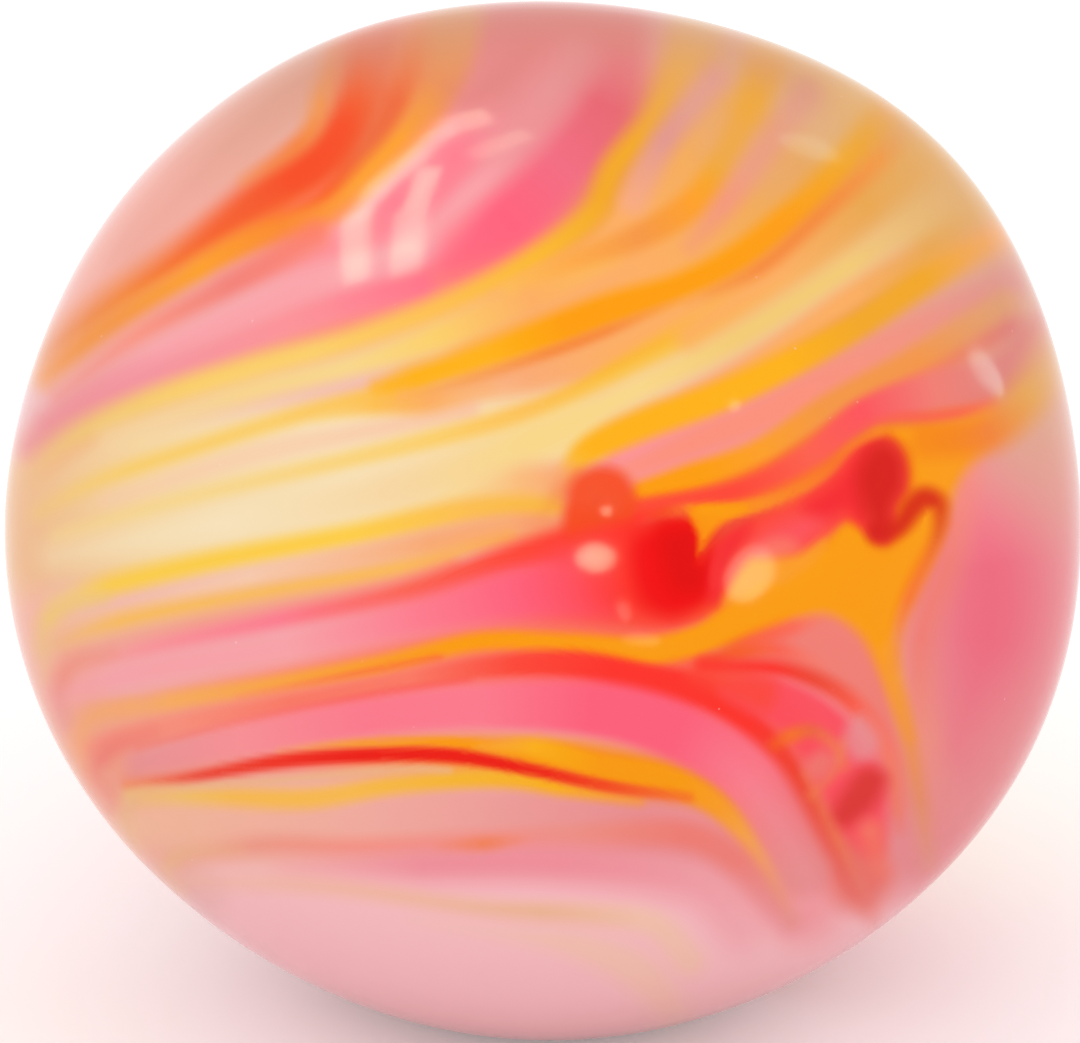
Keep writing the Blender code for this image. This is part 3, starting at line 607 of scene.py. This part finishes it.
# Surfaces: dust and tints are in sRGB
NOISE_LOW = 0.3  # between these two values lies most of a noise
NOISE_HIGH = 0.7
DUST_SPACING = 4 * MM
DUST_SIZE = 0.1 * MM
DUST_STRENGTH = 0.6
DUST = (250, 226, 214)
SKIN_FINISH = Finish(
    mottle=Pattern(6 * MM), roughness=(0.09, 0.13),
    relief=Pattern(4 * MM), depth=0.012 * MM, ior=1.45, specular=0.12,
)
PLUG_CLOUDS = Pattern(2.5 * MM, 4)
PLUG_TINTS = ((246, 150, 140), (240, 128, 122))
PLUG_FINISH = Finish(
    mottle=Pattern(0.8 * MM), roughness=(0.28, 0.42),
    relief=Pattern(0.35 * MM, 3), depth=0.02 * MM, ior=1.45, specular=0.35,
)
SEALANT_CLOUDS = Pattern(1.5 * MM, 3)
SEALANT_TINTS = ((246, 222, 206), (240, 200, 190))
SEALANT_FINISH = Finish(
    mottle=Pattern(1 * MM), roughness=(0.08, 0.16),
    relief=Pattern(1.2 * MM), depth=0.04 * MM, ior=1.42, specular=0.5,
)
DOUGH_CLOUDS = Pattern(4 * MM, 5)
DOUGH_TINTS = ((244, 230, 206), (234, 214, 184))
DOUGH_FINISH = Finish(
    mottle=Pattern(1.5 * MM), roughness=(0.7, 0.9),
    relief=Pattern(0.9 * MM, 4), depth=0.15 * MM, ior=1.5, specular=0.2,
)

# Light
WORLD = 1.0  # strength of the light from all round
FILL = 0.25  # radiance
FILL_SIZE = 0.7
FILL_RISE = 0.1
FLOOR_HALF = 3.0
FLOOR_SHADE = 0.88
FLOOR_GLOW = 0.2
FLOOR_ROUGHNESS = 0.9
FLOOR_SPECULAR = 0.1


class LampKind(NamedTuple):
    """What the lamps of one kind have in common."""

    shape: str
    colour: tuple
    distance: float  # from the ball
    beam: float  # the whole angle of its beam


STRIP = LampKind("RECTANGLE", (0.8, 1.0, 0.65), 0.5, math.pi)
SPOT = LampKind("ELLIPSE", (0.8, 1.0, 0.65), 25 * MM, math.radians(60))
GLINT = LampKind("ELLIPSE", (0.4, 1.0, 0.9), 0.5, math.pi)
FILL_LAMP = LampKind("RECTANGLE", (1, 1, 1), 0.9, math.pi)


class Highlight(NamedTuple):
    """A lamp's mirror image on the ball."""

    name: str
    kind: LampKind
    start: tuple  # places in the picture's pixels: across and down
    end: tuple
    width: float  # in the picture's pixels
    radiance: float


HIGHLIGHTS = (
    Highlight("window_left", STRIP, (356, 212), (357, 280), 27, 26),
    Highlight("window_right_top", STRIP, (431, 166), (415, 210), 23, 24),
    Highlight("window_right_low", STRIP, (411, 209), (406, 274), 32, 23),
    Highlight("arc_low", STRIP, (359, 218), (378, 188), 17, 22),
    Highlight("arc_middle", STRIP, (376, 190), (421, 152), 17, 20),
    Highlight("arc_high", STRIP, (419, 154), (446, 128), 18, 17),
    Highlight("arc_end", STRIP, (442, 127), (490, 115), 19, 10),
    Highlight("faint_streak", STRIP, (473, 155), (528, 132), 14, 7),
    Highlight("near_left", SPOT, (578, 557), (616, 557), 28, 36),
    Highlight("near_right", SPOT, (766, 548), (736, 600), 44, 18),
    Highlight("near_low", SPOT, (622, 600), (628, 620), 9, 14),
    Highlight("near_floor", SPOT, (624, 637), (662, 640), 11, 8),
    Highlight("speck", SPOT, (604, 509), (611, 512), 6, 60),
    Highlight("small_right", SPOT, (733, 400), (738, 410), 10, 14),
    Highlight("far_top", GLINT, (768, 140), (824, 166), 18, 2),
    Highlight("far_right", GLINT, (967, 357), (1000, 402), 18, 4.5),
)


def linear(colours):
    """Colours in sRGB, each number up to 255, as linear ones up to 1, by the formula of sRGB."""
    shares = np.asarray(colours, float) / 255
    return np.where(shares <= 0.04045, shares / 12.92, ((shares + 0.055) / 1.055) ** 2.4)


def smooth(x):
    """A rise from 0 to 1 that starts and ends level."""
    x = np.clip(x, 0, 1)
    return x * x * (3 - 2 * x)


def curve_through(points, closed):
    """Points along the smooth curve, a Catmull-Rom spline, through the given ones."""
    p = np.array(points, float)
    if closed:
        before, start, end, after = np.roll(p, 1, 0), p, np.roll(p, -1, 0), np.roll(p, -2, 0)
    else:
        q = np.vstack([2 * p[0] - p[1], p, 2 * p[-1] - p[-2]])
        before, start, end, after = q[:-3], q[1:-2], q[2:-1], q[3:]
    t = (np.arange(CURVE_STEPS) / CURVE_STEPS)[None, :, None]
    a, b, c, d = (x[:, None, :] for x in (before, start, end, after))
    made = b + (c - a) / 2 * t + (a - 2.5 * b + 2 * c - d / 2) * t**2 + (1.5 * (b - c) + (d - a) / 2) * t**3
    made = made.reshape(-1, p.shape[1])
    return np.vstack([made, p[:1] if closed else p[-1:]])


def nearest_on(places, line):
    """How far each place is from a line of points, and how far along the line, from 0 to 1."""
    best = np.full(len(places), np.inf)
    along = np.zeros(len(places))
    for k, (start, end) in enumerate(zip(line, line[1:])):
        way = end - start
        t = ((places - start) @ way / max(way @ way, TINY)).clip(0, 1)
        off = places - start - t[:, None] * way
        square = (off**2).sum(1)
        nearer = square < best
        best[nearer] = square[nearer]
        along[nearer] = k + t[nearer]
    return np.sqrt(best), along / (len(line) - 1)


def inside_of(places, line):
    """Which places lie inside a closed line of points."""
    odd = np.zeros(len(places), bool)
    x, y = places.T
    for (x0, y0), (x1, y1) in zip(line, line[1:]):
        if y0 != y1:
            odd ^= ((y0 > y) != (y1 > y)) & (x < (x1 - x0) * (y - y0) / (y1 - y0) + x0)
    return odd


def spread_along(values, along):
    """The value, between those evenly along a curve, at each place along it."""
    values = np.array(values, float).reshape(len(values), -1)
    if len(values) == 1:
        return np.repeat(values, len(along), 0)
    at = np.linspace(0, 1, len(values))
    return np.stack([np.interp(along, at, column) for column in values.T], 1)


def streak_paint(streak, places, blur):
    """The colour of a streak at each place, and how much it covers there."""
    line = curve_through(streak.path, closed=False)
    distance, along = nearest_on(places, line[:, :2])
    distance -= np.interp(along, np.linspace(0, 1, len(line)), line[:, 2])
    cover = 1 - smooth(distance / (streak.soft + blur) + 0.5)
    return spread_along(streak.colours, along), cover * spread_along(streak.strengths, along)[:, 0]


def patch_paint(patch, places, blur):
    """The colour of a patch, and how much it covers at each place."""
    line = curve_through(patch.outline, closed=True)
    distance, _ = nearest_on(places, line)
    distance = np.where(inside_of(places, line), -distance, distance)
    cover = 1 - smooth(distance / (patch.soft + blur) + 0.5)
    return np.array(patch.colour, float), cover * patch.strength


def warp(waves, right, up, towards):
    """How far the waves move each place, in millimetres."""
    return sum(
        wave.height * np.sin(wave.right * right + wave.up * up + wave.towards * towards + wave.phase)
        for wave in waves
    )


def reaches(piece, places):
    """Which places are near enough to a streak or a patch for its pigment to lie there."""
    if isinstance(piece, Patch):
        ends, reach = np.array(piece.outline), piece.soft
    else:
        ends, reach = np.array(piece.path)[:, :2], piece.soft + max(width for _, _, width in piece.path)
    reach = REACH_SPARE * (reach + BACK_BLUR)
    return ((places > ends.min(0) - reach) & (places < ends.max(0) + reach)).all(1)


class Seen(NamedTuple):
    """How points of the ball lie to the viewer."""

    places: np.ndarray  # in the picture's pixels, turned and warped on the back
    blur: np.ndarray  # in the picture's pixels
    edge: np.ndarray  # from 0 in the middle of the view to 1 at its edge
    front: np.ndarray  # from 1 on the front to 0 on the back


def seen_from_the_camera(points):
    """How points of the ball lie to the viewer."""
    off = (points - np.array(MIDDLE)) / MM
    right, up, towards = (off @ np.array(way) for way in (RIGHT, UP, TOWARDS))
    normals = off / (np.array(HALF_SIZES) / MM) ** 2
    facing = normals @ np.array(TOWARDS) / np.linalg.norm(normals, axis=1)
    edge = np.sqrt(1 - facing**2)
    front = smooth(facing / FRONT_FADE + 0.5)
    radius = HALF_SIZES.x / MM
    behind = smooth(-towards / radius)
    turn = BACK_TURN * behind
    right, up = right * np.cos(turn) - up * np.sin(turn), right * np.sin(turn) + up * np.cos(turn)
    across, along = (warp(waves, right, up, towards) for waves in (WAVES_ACROSS, WAVES_UP))
    right, up = right + behind * across, up + behind * along
    blur = np.maximum(EDGE_BLUR * edge**EDGE_BLUR_POWER, BACK_BLUR * behind)
    scale = MM / PIXEL / (1 - towards * MM / CAMERA_DISTANCE)
    places = np.stack([BALL_MIDDLE_X + right * scale, BALL_MIDDLE_Y - up * scale], 1)
    return Seen(places, blur, edge, front)


def marbling(points):
    """The pigment's colour, linear, at points of the ball, with its painted shade and painted light."""
    seen = seen_from_the_camera(points)
    colours = np.tile(np.array(GROUND, float), (len(points), 1))
    for piece in MARBLING:
        near = reaches(piece, seen.places)
        on_front = isinstance(piece, (Patch, FrontStreak))
        if on_front:
            near &= seen.front > 0
        if near.any():
            painted = patch_paint if isinstance(piece, Patch) else streak_paint
            colour, cover = painted(piece, seen.places[near], seen.blur[near])
            if on_front:
                cover = cover * seen.front[near]
            colours[near] += (colour - colours[near]) * cover[:, None]
    veil = (VEIL_MIDDLE + VEIL_EDGE * seen.edge**VEIL_POWER)[:, None]
    return np.clip((linear(colours) - veil) / (1 - veil), 0, 1)


def ball_points(ways, inset=0.0):
    """Points of the ball's surface, moved in by inset, along unit vectors from its middle."""
    half = np.array(HALF_SIZES) - inset
    reach = 1 / np.sqrt(((ways / half) ** 2).sum(-1))
    for lump in LUMPS:
        angle = math.radians(lump.angle)
        axis = np.array(RIGHT * math.cos(angle) + UP * math.sin(angle))
        away = np.degrees(np.arccos((ways @ axis).clip(-1, 1))) / lump.spread
        reach += lump.height * MM * np.exp(-(away**2))
    points = np.array(MIDDLE) + ways * reach[..., None]
    above = points[..., 2] - inset
    rounded = (above + REST_ROUNDING) ** 2 / (4 * REST_ROUNDING)
    settled = np.where(above <= -REST_ROUNDING, 0, np.where(above >= REST_ROUNDING, above, rounded))
    points[..., 2] = inset + settled
    return points


def add_object(name, data):
    """A new object of the scene."""
    made = bpy.data.objects.new(name, data)
    bpy.context.scene.collection.objects.link(made)
    return made


def turns(count):
    """Angles evenly round the plug's axis."""
    return 2 * math.pi * np.arange(count) / count


def ways_of(polar, turn):
    """Unit vectors at an angle from the front and a turn round the plug's axis."""
    polar, turn = np.broadcast_arrays(polar, turn)
    across = np.sin(polar)
    return np.stack([across * np.cos(turn), -np.cos(polar), across * np.sin(turn)], -1)


def rim_angles(radius, count, inset=0.0):
    """The angle from the front, for each turn, at which the back lies this far from the plug's axis."""
    low, high = np.full(count, math.pi / 2), np.full(count, math.pi)
    for _ in range(BISECTIONS):
        polar = (low + high) / 2
        off = ball_points(ways_of(polar, turns(count)), inset) - np.array(MIDDLE)
        outside = np.hypot(off[:, 0], off[:, 2]) > radius
        low, high = np.where(outside, polar, low), np.where(outside, high, polar)
    return (low + high) / 2


def ball_rings(polars, count, inset=0.0):
    """Rings of the ball's surface. Each polar is one angle from the front or one for each turn."""
    return [ball_points(ways_of(polar, turns(count)), inset) for polar in polars]


def round_ring(radius, y, count):
    """A ring round the plug's axis."""
    t = turns(count)
    return np.stack([MIDDLE.x + radius * np.cos(t), np.full(count, y), MIDDLE.z + radius * np.sin(t)], 1)


def band_faces(first, second):
    """Faces between two rings of points, given by their numbers. One ring may have more points."""
    many, few = len(first), len(second)
    if many < few:
        return [face[::-1] for face in band_faces(second, first)]
    step = many // few
    if step == 1:
        return list(zip(first, np.roll(first, -1), np.roll(second, -1), second))
    faces = []
    half = step // 2
    for k in range(few):
        for j in range(k * step - half, k * step + half):
            faces.append((first[j % many], first[(j + 1) % many], second[k]))
        faces.append((first[(k * step + half) % many], second[(k + 1) % few], second[k]))
    return faces


def cut_quads(faces, colours):
    """Quads cut into triangles along the diagonal whose ends have the more alike colours."""
    cut = []
    for face in faces:
        if len(face) == 3:
            cut.append(face)
            continue
        a, b, c, d = face
        if abs(colours[a] - colours[c]).sum() < abs(colours[b] - colours[d]).sum():
            cut += [(a, b, c), (a, c, d)]
        else:
            cut += [(a, b, d), (b, c, d)]
    return cut


def solid_of_rings(name, rings, poles=None, paint=None):
    """An object whose surface runs over the rings from one pole to the other, or round and back."""
    points = np.concatenate(rings)
    starts = np.cumsum([0] + [len(ring) for ring in rings])
    numbers = [np.arange(a, b) for a, b in zip(starts, starts[1:])]
    faces = []
    for first, second in zip(numbers, numbers[1:]):
        faces += band_faces(first, second)
    if poles is None:
        faces += band_faces(numbers[-1], numbers[0])
    else:
        count = len(points)
        points = np.vstack([points, np.array(poles)])
        faces += [(count, b, a) for a, b in zip(numbers[0], np.roll(numbers[0], -1))]
        faces += [(count + 1, a, b) for a, b in zip(numbers[-1], np.roll(numbers[-1], -1))]
    mesh = bpy.data.meshes.new(name)
    if paint is not None:
        colours = paint(points)
        faces = cut_quads(faces, colours)
    mesh.from_pydata(points.tolist(), [], [tuple(int(v) for v in reversed(face)) for face in faces])
    if paint is not None:
        layer = mesh.color_attributes.new(PAINT_LAYER, "FLOAT_COLOR", "POINT")
        layer.data.foreach_set("color", np.column_stack([colours, np.ones(len(colours))]).ravel())
    mesh.shade_smooth()
    mesh.set_sharp_from_angle(angle=SHARP_ANGLE)
    return add_object(name, mesh)


def outer_rings():
    """Rings of the skin's outside, from the front to the rim of the plug's seat."""
    radius = HALF_SIZES.x
    rings = []
    reached = 0.0
    for limit, spacing in ZONES:
        count = math.ceil(radius * (limit - reached) / spacing)
        for polar in np.linspace(reached, limit, count + 1)[1:]:
            length = 2 * math.pi * radius * math.sin(polar)
            segments = LEAST_SEGMENTS
            while segments < MOST_SEGMENTS and length / segments > WIDEST_SPACING * spacing:
                segments *= 2
            rings += ball_rings([polar], segments)
        reached = limit
    rim = rim_angles(SEAT_RADIUS + LIP_RADIUS, BACK_SEGMENTS)
    shares = np.arange(1, BACK_RINGS + 1) / BACK_RINGS
    return rings + ball_rings([reached + (rim - reached) * share for share in shares], BACK_SEGMENTS)


def make_skin():
    """The skin: its outside, the plug's seat with a rounded lip, the filling hole and the inside."""
    outside = outer_rings()
    rim_y = outside[-1][:, 1].min()
    lip = []
    for j in range(1, LIP_STEPS + 1):
        angle = math.pi / 2 * j / LIP_STEPS
        lip_radius = SEAT_RADIUS + LIP_RADIUS * (1 - math.sin(angle))
        lip.append(round_ring(lip_radius, rim_y - LIP_RADIUS * (1 - math.cos(angle)), BACK_SEGMENTS))
    collar_rim = rim_angles(COLLAR_RADIUS, INNER_SEGMENTS, SKIN_WALL)
    shares = np.arange(1, INNER_RINGS + 1) / INNER_RINGS
    inside = ball_rings([collar_rim * share for share in shares], INNER_SEGMENTS, SKIN_WALL)
    collar_end = min(SEAT_FLOOR - SEAT_WEB, inside[-1][:, 1].min() - COLLAR_RISE)
    port = [
        round_ring(SEAT_RADIUS, SEAT_FLOOR, BACK_SEGMENTS),
        round_ring(HOLE_RADIUS, SEAT_FLOOR, INNER_SEGMENTS),
        round_ring(HOLE_RADIUS, collar_end, INNER_SEGMENTS),
        round_ring(COLLAR_RADIUS, collar_end, INNER_SEGMENTS),
    ]
    poles = [ball_points(FRONT), ball_points(FRONT, SKIN_WALL)]
    return solid_of_rings("marbled_skin", outside + lip + port + inside[::-1], poles, marbling)


def rounded_corner(corner, before, after, radius):
    """Points of the arc that rounds a square corner of a profile, from before it to after it."""
    corner, before, after = Vector(corner), Vector(before), Vector(after)
    back, on = (before - corner).normalized(), (after - corner).normalized()
    middle = corner + (back + on) * radius
    made = []
    for j in range(ROUNDING_STEPS + 1):
        angle = math.pi / 2 * j / ROUNDING_STEPS
        made.append(middle - on * radius * math.cos(angle) - back * radius * math.sin(angle))
    return made


def crown_y(radius):
    """The height along the plug's axis at which its head carries on the ball's curve."""
    return HALF_SIZES.y * math.sqrt(1 - (radius / HALF_SIZES.y) ** 2)


def make_plug():
    """The filler plug: a barbed stem and a domed head with the small dish that its mould left."""
    tip, floor, edge = PLUG_BOX[0].y, SEAT_FLOOR + FIT_GAP, crown_y(HEAD_RADIUS)
    barb_back = tip + BARB_LENGTH
    profile = [
        (TIP_RADIUS - TIP_ROUNDING, tip),
        (TIP_RADIUS, tip + TIP_ROUNDING),
        (BARB_RADIUS, barb_back - BARB_SHOULDER),
        (BARB_RADIUS, barb_back),
        (STEM_RADIUS, barb_back),
        (STEM_RADIUS, floor),
        (HEAD_RADIUS - HEAD_ROUNDING, floor),
        (HEAD_RADIUS, floor + HEAD_ROUNDING),
    ]
    profile += rounded_corner((HEAD_RADIUS, edge), (HEAD_RADIUS, floor), (0, edge), HEAD_ROUNDING)
    for j in range(1, CROWN_RINGS):
        radius = (HEAD_RADIUS - HEAD_ROUNDING) * (1 - j / CROWN_RINGS)
        dish = GATE_DEPTH * (1 + math.cos(math.pi * min(1, radius / GATE_RADIUS))) / 2
        profile.append((radius, crown_y(radius) - dish))
    rings = [round_ring(radius, y, TURNED_SEGMENTS) for radius, y in profile]
    poles = [(MIDDLE.x, tip, MIDDLE.z), (MIDDLE.x, HALF_SIZES.y - GATE_DEPTH, MIDDLE.z)]
    return solid_of_rings("plug", [ring[::-1] for ring in rings], poles)


def make_bead():
    """The sealant in the groove round the plug's head. Its crown rises and falls as it was laid by hand."""
    inner, outer = HEAD_RADIUS + BEAD_CLEAR, SEAT_RADIUS - BEAD_CLEAR
    floor = SEAT_FLOOR + FIT_GAP
    shore = BEAD_BOX[1].y - BEAD_CROWN
    turn = turns(TURNED_SEGMENTS)
    swell = 1 + sum(height * np.sin(times * turn + phase) for height, times, phase in BEAD_SWELLS)
    rings = [round_ring(outer, floor, TURNED_SEGMENTS)]
    for j in range(BEAD_POINTS):
        angle = math.pi * j / (BEAD_POINTS - 1)
        radius = (inner + outer) / 2 + (outer - inner) / 2 * math.cos(angle)
        ring = round_ring(radius, shore, TURNED_SEGMENTS)
        ring[:, 1] += BEAD_CROWN * math.sin(angle) * swell / swell.max()
        rings.append(ring)
    rings.append(round_ring(inner, floor, TURNED_SEGMENTS))
    return solid_of_rings("sealant", [ring[::-1] for ring in rings[::-1]])


def make_dough():
    """The dough that fills the ball, with a pocket round the collar and the plug's barb."""
    inset = SKIN_WALL + FIT_GAP
    rim = rim_angles(COLLAR_RADIUS + FIT_GAP, DOUGH_SEGMENTS, inset)
    rings = ball_rings([rim * j / DOUGH_RINGS for j in range(1, DOUGH_RINGS + 1)], DOUGH_SEGMENTS, inset)
    ledge = rings[-1][:, 1].min() - COLLAR_RISE - 2 * FIT_GAP
    pocket_end = PLUG_BOX[0].y - POCKET_SPARE
    rings += [
        round_ring(COLLAR_RADIUS + FIT_GAP, ledge, DOUGH_SEGMENTS),
        round_ring(BARB_RADIUS + FIT_GAP, ledge, DOUGH_SEGMENTS),
        round_ring(BARB_RADIUS + FIT_GAP, pocket_end + BARB_RADIUS, DOUGH_SEGMENTS),
        round_ring(POCKET_END_RADIUS, pocket_end, DOUGH_SEGMENTS),
    ]
    poles = [ball_points(FRONT, inset), (MIDDLE.x, pocket_end, MIDDLE.z)]
    return solid_of_rings("dough", rings, poles)


class Nodes:
    """Makes the nodes of one material."""

    def __init__(self, name):
        self.material = bpy.data.materials.new(name)
        self.material.use_nodes = True
        self.tree = self.material.node_tree
        self.shader = self.tree.nodes["Principled BSDF"]

    def put(self, socket, value):
        """Lead another node's output into a socket, or set the socket to a plain value."""
        if isinstance(value, bpy.types.NodeSocket):
            self.tree.links.new(value, socket)
        else:
            socket.default_value = value

    def feed(self, name, value):
        """Give an input of the shader an output or a plain value."""
        self.put(self.shader.inputs[name], value)

    def add(self, kind, inputs, **settings):
        """A node with these settings, whose inputs get outputs or plain values."""
        node = self.tree.nodes.new(kind)
        for name, value in settings.items():
            setattr(node, name, value)
        for name, value in inputs.items():
            self.put(node.inputs[name], value)
        return node

    def place(self):
        """The place on the object that a pattern follows."""
        return self.add("ShaderNodeTexCoord", {}).outputs["Object"]

    def noise(self, pattern):
        """Noise with features of about a pattern's size."""
        inputs = {"Scale": 1 / pattern.size, "Detail": pattern.detail, "Vector": self.place()}
        return self.add("ShaderNodeTexNoise", inputs).outputs["Fac"]

    def specks(self, spacing, size):
        """How far each place is from the nearest of scattered specks, as a share of their size."""
        made = self.add("ShaderNodeTexVoronoi", {"Scale": 1 / spacing, "Vector": self.place()}, feature="F1")
        return self.ranged(made.outputs["Distance"], 0, 1, 0, size / spacing)

    def ranged(self, value, low, high, start=NOISE_LOW, end=NOISE_HIGH):
        """A value from start to end as one from low to high."""
        inputs = {"Value": value, "From Min": start, "From Max": end, "To Min": low, "To Max": high}
        return self.add("ShaderNodeMapRange", inputs).outputs["Result"]

    def mixed(self, share, first, second):
        """A colour between two, each an output or a colour in sRGB."""
        made = self.add("ShaderNodeMix", {"Factor": share}, data_type="RGBA")
        for name, colour in (("A", first), ("B", second)):
            socket = next(s for s in made.inputs if s.name == name and s.type == "RGBA")
            self.put(socket, (*linear(colour), 1) if isinstance(colour, tuple) else colour)
        return next(s for s in made.outputs if s.type == "RGBA")

    def larger(self, first, second):
        """The larger of two values."""
        return self.add("ShaderNodeMath", {0: first, 1: second}, operation="MAXIMUM").outputs[0]

    def finish(self, finish):
        """Give the material a finish."""
        self.feed("Roughness", self.ranged(self.noise(finish.mottle), *finish.roughness))
        relief = self.add("ShaderNodeBump", {"Distance": finish.depth, "Height": self.noise(finish.relief)})
        self.feed("Normal", relief.outputs["Normal"])
        self.feed("IOR", finish.ior)
        self.feed("Specular IOR Level", finish.specular)
        return self.material


def marbled_rubber():
    """The skin's rubber: its marbling and a few specks of dust."""
    nodes = Nodes("marbled_rubber")
    paint = nodes.add("ShaderNodeVertexColor", {}, layer_name=PAINT_LAYER)
    dust = nodes.ranged(nodes.specks(DUST_SPACING, DUST_SIZE), DUST_STRENGTH, 0, 0, 1)
    nodes.feed("Base Color", nodes.mixed(dust, paint.outputs["Color"], DUST))
    return nodes.finish(SKIN_FINISH)


def cloudy(name, clouds, tints, finish):
    """A material that is cloudy in two tints."""
    nodes = Nodes(name)
    nodes.feed("Base Color", nodes.mixed(nodes.ranged(nodes.noise(clouds), 0, 1), *tints))
    return nodes.finish(finish)


def dough():
    """The filling's matt, grainy dough."""
    return cloudy("dough", DOUGH_CLOUDS, DOUGH_TINTS, DOUGH_FINISH)


def plug_rubber():
    """The plug's satin rubber."""
    return cloudy("plug_rubber", PLUG_CLOUDS, PLUG_TINTS, PLUG_FINISH)


def sealant():
    """The bead's glossy, milky sealant."""
    return cloudy("sealant", SEALANT_CLOUDS, SEALANT_TINTS, SEALANT_FINISH)


def make_stage():
    """A matt white floor, which glows a little to the eye and in mirrors so that it stays white."""
    a = FLOOR_HALF
    mesh = bpy.data.meshes.new("floor")
    mesh.from_pydata([(-a, -a, 0), (a, -a, 0), (a, a, 0), (-a, a, 0)], [], [(0, 1, 2, 3)])
    nodes = Nodes("floor")
    nodes.feed("Base Color", (FLOOR_SHADE, FLOOR_SHADE, FLOOR_SHADE, 1))
    nodes.feed("Roughness", FLOOR_ROUGHNESS)
    nodes.feed("Specular IOR Level", FLOOR_SPECULAR)
    nodes.feed("Emission Color", (1, 1, 1, 1))
    ray = nodes.add("ShaderNodeLightPath", {}).outputs
    seen = nodes.larger(ray["Is Camera Ray"], ray["Is Glossy Ray"])
    seen = nodes.larger(seen, ray["Is Transmission Ray"])
    nodes.feed("Emission Strength", nodes.ranged(seen, 0, FLOOR_GLOW, 0, 1))
    mesh.materials.append(nodes.material)
    add_object("floor", mesh)


def make_camera():
    """The camera at the picture's angle, whose frame takes in the picture's width at the ball."""
    data = bpy.data.cameras.new("camera")
    data.sensor_width = SENSOR_WIDTH
    data.lens = SENSOR_WIDTH * CAMERA_DISTANCE / PICTURE_SPAN
    data.clip_start, data.clip_end = CAMERA_CLIP
    camera = add_object("camera", data)
    camera.location = MIDDLE + TOWARDS * CAMERA_DISTANCE
    camera.rotation_euler = (math.pi / 2 - VIEW_ELEVATION, 0, 0)
    bpy.context.scene.camera = camera


def mirrored(place, distance):
    """The point of the ball that shows at a place of the picture, and where a lamp is mirrored there."""
    eye = TOWARDS * CAMERA_DISTANCE
    seen = RIGHT * (place.x - BALL_MIDDLE_X) * PIXEL + UP * (BALL_MIDDLE_Y - place.y) * PIXEL
    way = (seen - eye).normalized()
    round_eye, round_way = (Vector(v[k] / HALF_SIZES[k] for k in range(3)) for v in (eye, way))
    b = round_eye.dot(round_way)
    reach = -b - math.sqrt(b * b - round_way.length_squared * (round_eye.length_squared - 1))
    point = eye + way * reach / round_way.length_squared
    normal = Vector(point[k] / HALF_SIZES[k] ** 2 for k in range(3)).normalized()
    return MIDDLE + point, MIDDLE + point + way.reflect(normal) * distance


def lamp(name, kind, place, target, size, radiance, upright):
    """A lamp that faces a target, with its second side along upright."""
    data = bpy.data.lights.new(name, "AREA")
    data.shape = kind.shape
    data.color = kind.colour
    data.size, data.size_y = size
    data.spread = kind.beam
    narrowing = 1 - kind.beam / 2 / math.tan(kind.beam / 2)
    data.energy = radiance * narrowing * math.pi * size[0] * size[1]
    made = add_object(name, data)
    back = (place - target).normalized()
    along = (upright - back * back.dot(upright)).normalized()
    turned = Matrix((along.cross(back), along, back)).transposed()
    made.matrix_world = Matrix.Translation(place) @ turned.to_4x4()
    made.visible_camera = False
    return made


def square_sides(long, wide, shape):
    """The two sides at right angles of a shape that is given by two slanting ones."""
    if shape == "ELLIPSE":
        turn = math.atan2(2 * long.dot(wide), long.length_squared - wide.length_squared) / 2
        cos, sin = math.cos(turn), math.sin(turn)
        return long * cos + wide * sin, wide * cos - long * sin
    return long, wide - wide.project(long)


def make_highlight(highlight):
    """The lamp that a highlight mirrors. It adds no other light."""
    start, end = Vector(highlight.start), Vector(highlight.end)
    along = (end - start).normalized()
    across = Vector((-along.y, along.x)) * highlight.width / 2
    middle = (start + end) / 2
    kind = highlight.kind
    tips = (start, end, middle - across, middle + across)
    first, last, left, right = (mirrored(tip, kind.distance)[1] for tip in tips)
    target, place = mirrored(middle, kind.distance)
    long, wide = square_sides(last - first, right - left, kind.shape)
    size = (wide.length, long.length)
    made = lamp(highlight.name, kind, place, target, size, highlight.radiance, long)
    made.visible_diffuse = False


def make_lights():
    """White light from all round, a soft fill from the viewer's side and the lamps of the highlights."""
    world = bpy.data.worlds.new("studio")
    world.use_nodes = True
    background = world.node_tree.nodes["Background"]
    background.inputs["Color"].default_value = (1, 1, 1, 1)
    background.inputs["Strength"].default_value = WORLD
    bpy.context.scene.world = world
    place = MIDDLE + TOWARDS * FILL_LAMP.distance + UP * FILL_RISE
    fill = lamp("front_fill", FILL_LAMP, place, MIDDLE, (FILL_SIZE, FILL_SIZE), FILL, UP)
    fill.visible_glossy = False
    for highlight in HIGHLIGHTS:
        make_highlight(highlight)


def add_piece(piece, material, node, body):
    """Give a piece its material and its place in the frame."""
    piece.data.materials.append(material)
    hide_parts(node)
    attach(piece, body)


def squeeze_flat(piece):
    """Give a piece a mesh of its own."""
    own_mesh(piece)


def main():
    """Make the pieces, the floor, the camera and the lights."""
    skin, filling, plug, bead = make_skin(), make_dough(), make_plug(), make_bead()
    add_piece(skin, marbled_rubber(), "skin", "ball")
    add_piece(filling, dough(), "filling", "ball")
    add_piece(plug, plug_rubber(), "filler_plug", "plug_end")
    add_piece(bead, sealant(), "sealant_bead", "plug_end")
    make_stage()
    make_camera()
    make_lights()
    bpy.context.scene.view_settings.view_transform = "Standard"
    squeeze_flat(skin)
    squeeze_flat(filling)


main()
